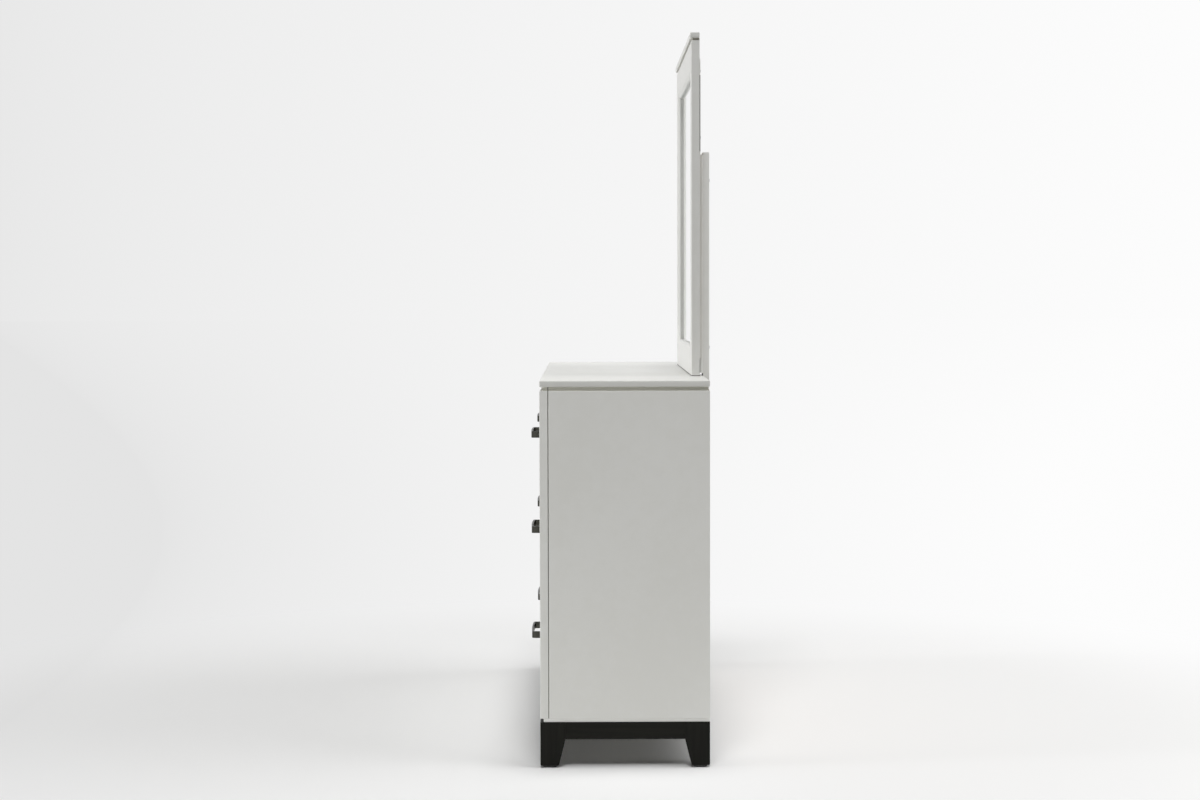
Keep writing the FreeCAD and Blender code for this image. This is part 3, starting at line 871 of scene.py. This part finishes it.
def drawerPlaces(body, sizes):
    pullLow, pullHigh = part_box(body + "_pull")
    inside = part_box(body + "_box_ends")[0][1] + sizes["boxBoard"]
    middle = (pullLow[0] + pullHigh[0]) / 2
    level = (pullLow[2] + pullHigh[2]) / 2
    spread = sizes["pullSpread"]
    pulls = [((middle + side * spread, inside, level), (0, 1, 0)) for side in (-1, 1)]
    boxLow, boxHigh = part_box(body + "_box_sides")
    runnerLow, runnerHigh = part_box(body + "_runners")
    height = (runnerLow[2] + runnerHigh[2]) / 2
    sheet = sizes["sheet"]
    wall = sizes["runnerSpace"] - sheet
    drawer, case = [], []
    for part in sizes["alongRunner"]:
        y = share(runnerLow[1], runnerHigh[1], part)
        drawer.append(((boxLow[0] - sheet, y, height), (-1, 0, 0)))
        drawer.append(((boxHigh[0] + sheet, y, height), (1, 0, 0)))
        case.append(((boxLow[0] - wall, y, height), (1, 0, 0)))
        case.append(((boxHigh[0] + wall, y, height), (-1, 0, 0)))
    return pulls, drawer, case


casePlaces = []
for label, body in drawers.items():
    pulls, drawer, case = drawerPlaces(body, drawerFixings)
    fasten(label + "PullScrews", body, pullScrew, pulls)
    fasten(label + "RunnerScrews", body, runnerScrew, drawer)
    casePlaces += case
fasten("caseRunnerScrews", "cabinet", runnerScrew, casePlaces)

backFixings = {
    "backingInset": 0.011,
    "backingAcross": (-0.27, 0.0, 0.27),
    "backingUp": (1.525, 1.690),
    "nailInset": 0.008,
    "nailStep": 0.115,
    "postNear": 0.340,
    "postFar": 0.422,
    "belowPost": 0.01,
}


def postPlaces(sizes):
    mesh = welded("post_screws", sizes)
    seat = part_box("mirror_posts")[1][1]
    found = []
    for island in islandsOf(mesh):
        lines = list(zip(*(corner.co for face in island for corner in face.verts)))
        x, z = ((min(lines[axis]) + max(lines[axis])) / 2 for axis in (0, 2))
        found.append(((x, seat, z), (0, 1, 0)))
    mesh.free()
    return sorted(found)


def backingPlaces(sizes):
    low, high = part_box("mirror_backboard")
    inset = sizes["backingInset"]
    spots = [(x, z) for x in sizes["backingAcross"] for z in (low[2] + inset, high[2] - inset)]
    spots += [(x, z) for x in (low[0] + inset, high[0] - inset) for z in sizes["backingUp"]]
    return [((x, high[1], z), (0, 1, 0)) for x, z in spots]


def nailPlaces(sizes):
    low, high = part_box("back_panel")
    inset, step = sizes["nailInset"], sizes["nailStep"]
    left, right, bottom, top = low[0] + inset, high[0] - inset, low[2] + inset, high[2] - inset
    across = round((right - left) / step / 2) * 2  # even, so that one nail is in the middle
    upward = round((top - bottom) / step)
    spots = [(share(left, right, index / across), z)
             for index in range(across + 1) for z in (bottom, top)]
    spots += [(x, share(bottom, top, index / upward))
              for index in range(1, upward) for x in (left, 0.0, right)]
    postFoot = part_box("mirror_posts")[0][2] - sizes["belowPost"]
    clear = [(x, z) for x, z in spots
             if z < postFoot or not sizes["postNear"] < abs(x) < sizes["postFar"]]
    return [((x, high[1], z), (0, 1, 0)) for x, z in clear]


postScrews = fasten("postScrews", "cabinet", postScrew, postPlaces(easingSizes))
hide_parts("post_screws")
fasten("backingScrews", "cabinet", backingScrew, backingPlaces(backFixings))
fasten("backPanelNails", "cabinet", panelNail, nailPlaces(backFixings))
fastened = [one for one in bpy.data.objects if "Screws" in one.name or "Nails" in one.name]
print("fasteners:", len(fastened), "sets")

# Studio: a floor that fades into the backdrop, and soft lamps
backdropLook = {
    "leftFalloffTone": 0.775,
    "falloffRise": 0.205,
    "reach": 0.27,
    "curve": 0.62,
    "standOff": 5.8,
    "fadeRange": (1.2, 2.3),
    "dimRange": (1.0, 3.5),
    "dimming": 0.80,
    "bounceTint": (1.0, 1.0, 0.98),
    "floorHalf": 90.0,
}


# painted shade: the floor and the backdrop are painted darker towards -Y, standing in for light
# that falls off to that side
def backdropTone(net, sideways, look):
    across = ((sideways + look["reach"]) / (2 * look["reach"])).kept()
    return look["leftFalloffTone"] + look["falloffRise"] * across ** look["curve"]


def seenDirectly(net):
    camera = net.add("ShaderNodeLightPath", out="Is Camera Ray")
    glossy = net.add("ShaderNodeLightPath", out="Is Glossy Ray")
    through = net.add("ShaderNodeLightPath", out="Is Transmission Ray")
    return (camera + glossy + through).kept()


def floorFinish(look):
    net = Finish("paperFloor")
    x = net.part(net.spot, "X")
    y = net.part(net.spot, "Y")
    spread = x * x + y * y
    reach = spread ** 0.5
    seen = seenDirectly(net)
    tone = backdropTone(net, y / (spread + look["standOff"] ** 2) ** 0.5, look)
    # far from the dresser the floor gives it less light, and shows the backdrop's tone
    dim = look["dimming"] * (1 - seen) * net.ease(reach, *look["dimRange"])
    bounced = net.mix(1.0, look["bounceTint"], tone * (1 - dim), "MULTIPLY")
    lit = net.add("ShaderNodeBsdfDiffuse", None, {"Color": net.mix(seen, bounced, tone)})
    glow = net.add("ShaderNodeEmission", None, {"Color": tone, "Strength": 1.0})
    far = net.ease(reach, *look["fadeRange"])
    mixed = net.add("ShaderNodeMixShader", None, {0: far * seen, 1: lit, 2: glow})
    net.add("ShaderNodeOutputMaterial", None, {"Surface": mixed})
    return net.material


def makeFloor(look):
    half = look["floorHalf"]
    corners = [(-half, -half, 0), (half, -half, 0), (half, half, 0), (-half, half, 0)]
    data = bpy.data.meshes.new("paperFloor")
    data.from_pydata(corners, [], [(0, 1, 2, 3)])
    data.materials.append(floorFinish(look))
    addObject("paperFloor", data)


airLook = {
    "low": 0.03,
    "high": 0.15,
    "riseRange": (0.1, 0.75),
    "tint": (1.0, 0.995, 0.955),
}


def makeWorld(look, air):
    world = bpy.data.worlds.new("studioAir")
    world.use_nodes = True
    scene.world = world
    net = Net(world.node_tree)
    way = net.add("ShaderNodeTexCoord", out="Generated")
    sideways = net.add("ShaderNodeSeparateXYZ", None, {"Vector": way}, "Y")
    upward = net.add("ShaderNodeSeparateXYZ", None, {"Vector": way}, "Z")
    strength = air["low"] + (air["high"] - air["low"]) * net.ease(upward, *air["riseRange"])
    tone = backdropTone(net, sideways, look)
    shown = net.add("ShaderNodeBackground", None, {"Color": tone, "Strength": 1.0})
    lit = net.add("ShaderNodeBackground", None, {"Color": air["tint"], "Strength": strength})
    mixed = net.add("ShaderNodeMixShader", None, {0: seenDirectly(net), 1: lit, 2: shown})
    net.add("ShaderNodeOutputWorld", None, {"Surface": mixed})


softLamps = {
    # level is the share of a white surface's own tone that the lamp alone gives it, face on
    "above": {"from": (-0.03, 0.03, 1.0), "spreadDegrees": 16.0, "level": 0.27},
    "near": {"from": (0.62, -0.05, 1.0), "spreadDegrees": 22.0, "level": 0.36},
    "front": {"from": (0.14, -1.0, 0.06), "spreadDegrees": 9.0, "level": 0.56},
    "rear": {"from": (0.10, 1.0, 0.90), "spreadDegrees": 44.0, "level": 0.30},
}


def makeLamps(lamps):
    for name, lamp in lamps.items():
        data = bpy.data.lights.new(name, "SUN")
        data.energy = math.pi * lamp["level"]
        data.angle = math.radians(lamp["spreadDegrees"])
        place = Vector(lamp["from"])
        piece = addObject(name, data)
        piece.location = place
        piece.rotation_euler = (-place).to_track_quat("-Z", "Y").to_euler()
        piece.visible_camera = False
        piece.visible_glossy = False


makeFloor(backdropLook)
makeWorld(backdropLook, airLook)
makeLamps(softLamps)
print("studio:", len(softLamps), "lamps")
